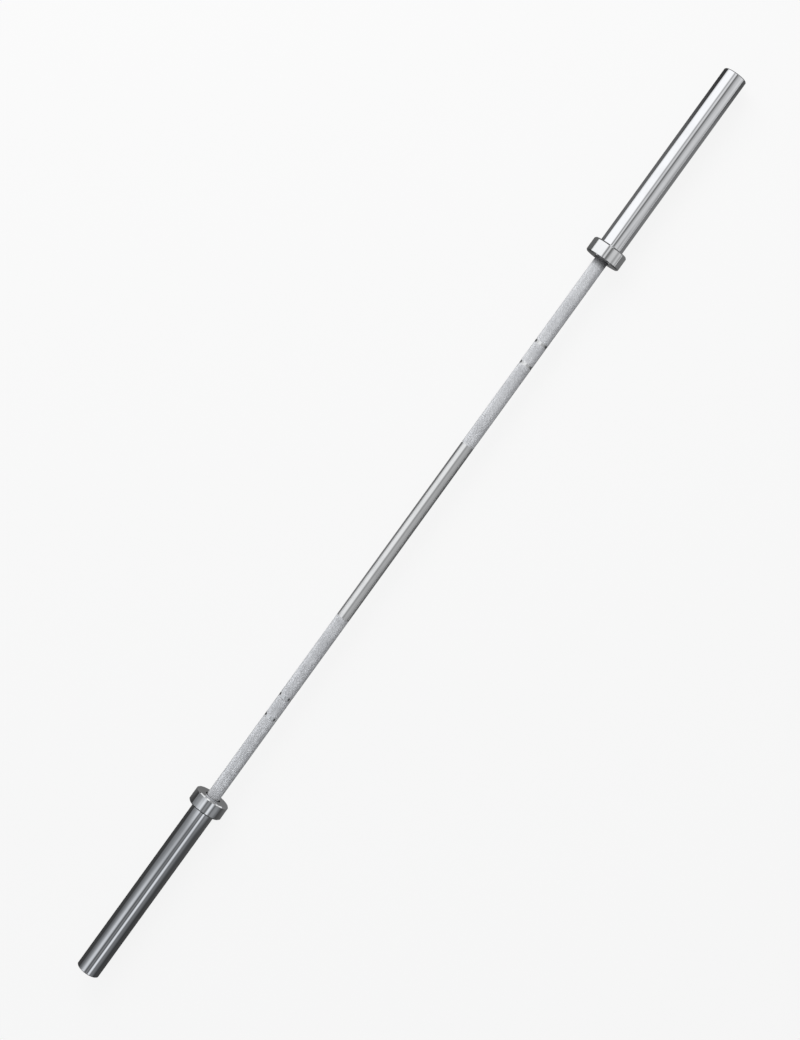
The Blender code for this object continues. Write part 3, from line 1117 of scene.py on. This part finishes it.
@dataclass(frozen=True)
class Wall:
    """The tent from one place along the bar to another, with its lit panels and dark flags.

    A panel is its two edges, as angles in degrees from overhead towards +Y, and its glow, where
    1 is white.
    """

    start: float
    end: float
    tint: Colour
    panels: tuple[tuple[float, float, float], ...]

    def stops(self, full: float) -> list[tuple[float, Colour]]:
        """The panels as a ramp's stops, where full is the glow at the ramp's white."""
        return [
            (0.5 + angle / 180.0, tuple(glow / full * part for part in self.tint))
            for low, high, glow in self.panels
            for angle in (low, high)
        ]


PLAIN = (1.0, 1.0, 1.0)
COLD = (0.975, 1.0, 1.035)

WALLS = (
    Wall(-6.0, -5.85, COLD, ((-90, 90, 0.05),)),
    Wall(-5.4, -4.4, COLD, (
        (-90, -84, 0.70), (-70, -24, 0.28), (-8, 8, 0.75), (22, 60, 0.35), (76, 90, 0.70),
    )),
    Wall(-3.4, -2.55, COLD, ((-90, 2, 0.04), (10, 46, 3.0), (60, 90, 0.50))),
    Wall(-2.2, -1.95, COLD, (
        (-90, -84, 0.05), (-58, -42, 0.20), (-31, -23, 0.92), (-15, -10, 0.14), (-5, 0, 0.24),
        (6, 14, 0.14), (25, 37, 0.72), (55, 57, 0.34), (72, 76, 0.17), (88, 90, 0.11),
    )),
    Wall(-1.56, -1.56, COLD, (
        (-90, -76, 0.08), (-58, -42, 0.20), (-29, -21, 0.85), (-14, -9, 0.16), (-4, 2, 0.22),
        (6, 12, 0.16), (22, 32, 0.50), (46, 54, 0.32), (66, 76, 0.24), (90, 90, 0.14),
    )),
    Wall(-1.42, -1.42, COLD, (
        (-90, -88, 0.12), (-66, -52, 0.32), (-44, -40, 0.18), (-29, -23, 0.98), (-15, -10, 0.18),
        (-5, 2, 0.30), (8, 11, 0.18), (21, 26, 0.92), (35, 42, 0.70), (56, 62, 0.36),
        (80, 90, 0.24),
    )),
    Wall(-1.3, -1.14, COLD, (
        (-90, -48, 0.06), (-30, -22, 0.60), (-15, -10, 0.12), (-5, 2, 0.28), (8, 11, 0.12),
        (20, 30, 0.60), (48, 90, 0.06),
    )),
    Wall(-1.09, -0.89, COLD, ((-90, -70, 0.06), (-44, -14, 0.60), (-5, 5, 0.42), (14, 90, 0.80))),
    Wall(-0.84, -0.72, COLD, (
        (-90, -48, 0.06), (-30, -20, 0.50), (-14, -10, 0.20), (-4, 3, 0.30), (8, 10, 0.20),
        (22, 34, 0.60), (50, 90, 0.06),
    )),
    Wall(-0.6, 0.14, PLAIN, (
        (-90, -84, 0.24), (-70, -50, 0.44), (-40, -20, 0.50), (-14, -10, 0.45), (-4, 3, 0.36),
        (8, 10, 0.50), (24, 68, 1.00), (88, 90, 0.60),
    )),
    Wall(0.27, 0.82, PLAIN, ((-90, -70, 0.25), (-48, -8, 0.52), (10, 44, 1.05), (60, 90, 0.8))),
    Wall(0.96, 0.96, PLAIN, (
        (-90, -86, 0.40), (-74, -72, 0.72), (-60, -56, 0.42), (-46, -28, 0.70), (-14, -8, 0.20),
        (-2, 3, 0.80), (8, 12, 0.30), (20, 86, 1.20),
    )),
    Wall(1.25, 1.25, PLAIN, (
        (-90, -80, 0.40), (-60, -40, 0.72), (-34, -28, 0.58), (-15, -10, 0.18), (-3, 6, 0.74),
        (12, 15, 0.44), (26, 80, 1.22), (90, 90, 0.9),
    )),
    Wall(2.0, 2.0, PLAIN, (
        (-90, -86, 0.60), (-76, -66, 0.90), (-50, -40, 0.64), (-24, -22, 0.36), (-15, -11, 0.18),
        (-3, 5, 0.90), (12, 15, 0.46), (27, 74, 1.22), (90, 90, 0.7),
    )),
    Wall(2.3, 3.2, PLAIN, ((-90, -30, 0.40), (-10, 6, 0.8), (20, 90, 0.85))),
    Wall(5.0, 6.0, PLAIN, (
        (-90, -84, 1.1), (-72, 2, 0.42), (16, 46, 1.2), (60, 68, 0.50), (80, 90, 1.1),
    )),
)


@dataclass(frozen=True)
class Card:
    """A card that lies beside the bar, just above the floor, and is seen at the bar's edges.

    Its far edge, its near edge and its glow are given by (place along the bar, value) pairs.
    """

    name: str
    way: float
    far: Levels
    glows: Levels
    near: Levels = ((-3.0, 0.0), (3.0, 0.0))
    lift: float = 0.2 * MM

    @staticmethod
    def level(levels: Levels, x: float) -> float:
        """The value at a place along the bar, between the pairs on both sides of it."""
        for (start, first), (end, last) in zip(levels, levels[1:]):
            if start <= x <= end:
                return first + (last - first) * (x - start) / (end - start)
        return levels[-1][1]

    def sheet(self, steps: int, ground: float) -> BMesh:
        """The card as a flat sheet, this many steps long, above ground this high."""
        start, end = self.far[0][0], self.far[-1][0]
        bm = grid(steps)
        for vert in bm.verts:
            x = start + (end - start) * (vert.co.x + 0.5)
            near, far = self.level(self.near, x), self.level(self.far, x)
            out = near + (far - near) * (vert.co.y + 0.5)
            vert.co = (x, self.way * out, ground + self.lift)
        return bm

    def shader(self, net: Net) -> Wire:
        """The card's faint glow along the bar."""
        x, _, _ = net.parts(net.place())
        start, end = self.glows[0][0], self.glows[-1][0]
        stops = [((place - start) / (end - start), (glow,) * 3) for place, glow in self.glows]
        along = (x - start) / (end - start)
        return net.glow(net.ramp(along, stops))


CARDS = (
    Card(
        "back_card", way=1.0,
        far=((-3.0, 3.1), (-0.8, 3.1), (-0.6, 0.9), (-0.5, 0.2), (-0.42, 0.18), (-0.15, 0.36),
             (0.0, 0.45), (0.6, 0.42), (0.9, 0.5), (1.1, 0.9), (1.5, 1.0)),
        glows=((-3.0, 0.05), (-0.72, 0.06), (-0.62, 0.24), (-0.53, 0.24), (-0.51, 0.04),
               (-0.41, 0.04), (-0.39, 0.24), (-0.2, 0.24), (0.4, 0.16), (0.5, 0.06),
               (0.62, 0.06), (0.67, 0.15), (0.78, 0.17), (0.96, 0.14), (1.08, 0.05),
               (1.5, 0.05)),
    ),
    Card(
        "front_card", way=-1.0,
        far=((-3.0, 3.1), (0.62, 3.1), (0.72, 0.9), (1.5, 0.9)),
        glows=((-3.0, 0.055), (-1.0, 0.06), (-0.72, 0.09), (-0.62, 0.24), (-0.56, 0.26),
               (-0.36, 0.22), (-0.2, 0.14), (0.4, 0.12), (0.5, 0.05), (0.62, 0.06),
               (0.67, 0.2), (0.8, 0.22), (1.0, 0.2), (1.1, 0.1), (1.5, 0.1)),
    ),
    Card(
        "glint_card", way=-1.0,
        far=((-0.54, 0.16), (-0.44, 0.24), (-0.23, 0.40), (-0.03, 0.54), (0.26, 0.80)),
        glows=((-0.54, 1.0), (0.26, 1.0)),
        near=((-0.54, 0.10), (-0.44, 0.18), (-0.23, 0.29), (-0.03, 0.38), (0.26, 0.50)),
        lift=0.4 * MM,
    ),
)


@dataclass
class Studio:
    """A pale floor under a long light tent, with dark cards beside the bar and one soft lamp."""

    white: float = 0.93
    floor_colour: float = 0.9
    floor_size: float = 80.0
    floor_glow: float = 0.95
    tent_radius: float = 3.0
    tent_half_length: float = 6.0
    tent_sweep: float = math.radians(184)
    tent_sides: int = 64
    tent_full: float = 3.0
    card_steps: int = 90
    end_panel_place: float = -2.9
    end_panel_size: tuple[float, float] = (1.6, 0.42)
    end_panel_glow: float = 0.15
    lamp_size: tuple[float, float] = (2.6, 2.0)
    lamp_place: tuple[float, float, float] = (1.9, 2.0, 2.0)
    lamp_watts: float = 122.0

    def _show(
        self, name: str, bm: BMesh, build: Callable[[Net], Wire], unseen: Iterable[str] = ()
    ) -> None:
        """Adds a piece of the studio.

        Args:
            name: The piece's name.
            bm: Its mesh, which is freed.
            build: The function that builds its shader.
            unseen: The kinds of ray that pass it by.
        """
        mesh = stored(bm, name)
        mesh.materials.append(new_material(name, build))
        thing = linked(name, mesh)
        for rays in unseen:
            setattr(thing, f"visible_{rays}", False)

    def _floor_shader(self, net: Net) -> Wire:
        """Pale paint that glows for camera, glossy and transmission rays, and keeps a shadow."""
        rays = net.add("ShaderNodeLightPath")
        seen = rays | rays.other("Is Glossy Ray") | rays.other("Is Transmission Ray")
        paint = net.add("ShaderNodeBsdfDiffuse", inputs={"Color": grey(self.floor_colour)})
        shares = {0: seen * self.floor_glow, 1: paint, 2: net.glow(self.white)}
        return net.add("ShaderNodeMixShader", inputs=shares)

    def _tent_shader(self, net: Net) -> Wire:
        """The tent's light: each wall's panels round the bar, blended from wall to wall."""
        x, y, z = net.parts(net.place())
        turn = y.angle_from(z) / math.pi + 0.5
        light = net.ramp(turn, WALLS[0].stops(self.tent_full))
        for before, wall in zip(WALLS, WALLS[1:]):
            share = net.rise(x, before.end, wall.start)
            light = net.blend(share, light, net.ramp(turn, wall.stops(self.tent_full)))
        return net.glow(light, self.tent_full)

    def build(self) -> None:
        """Adds the floor, the tent, the cards, the low end panel, the lamp and the world."""
        ground = CAD_BOX[0].z
        plane = grid(size=self.floor_size)
        bmesh.ops.translate(plane, vec=(0, 0, ground), verts=plane.verts)
        self._show("floor", plane, self._floor_shader)

        half, radius = self.tent_half_length, self.tent_radius
        shell = turned(
            [(-half, 0.0), (-half, radius), (half, radius), (half, 0.0)],
            self.tent_sides, closed=False, sweep=self.tent_sweep,
        )
        self._show("light_tent", shell, self._tent_shader, ("camera", "shadow"))

        mirrored_only = ("camera", "diffuse", "shadow")
        for card in CARDS:
            sheet = card.sheet(self.card_steps, ground)
            self._show(card.name, sheet, card.shader, mirrored_only)
        panel = grid()
        wide, high = self.end_panel_size
        bmesh.ops.scale(panel, vec=(high, wide, 1.0), verts=panel.verts)
        upright = Matrix.Rotation(math.pi / 2, 3, "Y")
        bmesh.ops.rotate(panel, verts=panel.verts, matrix=upright)
        spot = (self.end_panel_place, 0, ground + high / 2)
        bmesh.ops.translate(panel, vec=spot, verts=panel.verts)
        glow = self.end_panel_glow
        self._show("end_panel", panel, lambda net: net.glow(glow), mirrored_only)

        light = bpy.data.lights.new("soft_lamp", "AREA")
        light.shape = "RECTANGLE"
        light.size, light.size_y = self.lamp_size
        light.energy = self.lamp_watts
        lamp = linked("soft_lamp", light)
        lamp.location = self.lamp_place
        lamp.rotation_euler = Vector(self.lamp_place).to_track_quat("Z", "Y").to_euler()
        lamp.visible_glossy = False

        world = bpy.data.worlds.new("studio")
        world.use_nodes = True
        net = Net(world.node_tree)
        sky = net.add("ShaderNodeBackground", inputs={"Color": grey(self.white)})
        net.add("ShaderNodeOutputWorld", inputs={"Surface": sky})
        bpy.context.scene.world = world
        bpy.context.scene.view_settings.view_transform = "Standard"


@dataclass
class PhotoCamera:
    """The photograph's camera: above the bar, a little towards the right-hand end."""

    foot: tuple[float, float] = (0.28, 0.0)
    height: float = 3.754
    aim: tuple[float, float] = (0.0134, 0.0218)
    bar_slope: float = 54.115
    lens: float = 66.05
    sight: float = 200.0

    def place(self) -> None:
        """Adds the camera, turned so that the bar climbs to the upper right."""
        spot = Vector((*self.foot, self.height))
        ahead = (Vector((*self.aim, 0.0)) - spot).normalized()
        along = (AXIS - AXIS.dot(ahead) * ahead).normalized()
        across = (-ahead).cross(along)
        slope = math.radians(self.bar_slope)
        right = math.cos(slope) * along - math.sin(slope) * across
        up = math.sin(slope) * along + math.cos(slope) * across
        data = bpy.data.cameras.new("photo_camera")
        data.lens = self.lens
        data.clip_end = self.sight
        camera = linked("photo_camera", data)
        turn = Matrix((right, up, -ahead)).transposed().to_4x4()
        camera.matrix_world = Matrix.Translation(spot) @ turn
        bpy.context.scene.camera = camera


def end_assemblies(side: Side) -> list[EndAssembly]:
    """Every assembly of one end, from the collar outwards."""
    return [
        Sleeve(side),
        DustSeal(side),
        ThrustWashers(side),
        Bushes(side),
        NeedleBearing(side, "inner"),
        NeedleBearing(side, "outer"),
        RetainingRing(
            side, "shaft_snap_ring", BAR_BODY, Grip.SHAFT, inner=11.9 * MM, outer=14.5 * MM,
            gap=math.radians(34), ear_circle=14.4 * MM,
        ),
        RetainingRing(
            side, "end_cap_retainer", SLEEVE_BODY, Grip.BORE, inner=19.2 * MM, outer=22.1 * MM,
            gap=math.radians(30), ear_circle=19.4 * MM,
        ),
        EndCap(side),
    ]


def main() -> None:
    """Dresses the bar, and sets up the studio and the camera."""
    logging.basicConfig(level=logging.INFO, format="%(name)s: %(message)s")
    Shaft().dress()
    for side in Side:
        for assembly in end_assemblies(side):
            assembly.dress()
    Studio().build()
    PhotoCamera().place()


if __name__ == "__main__":
    main()
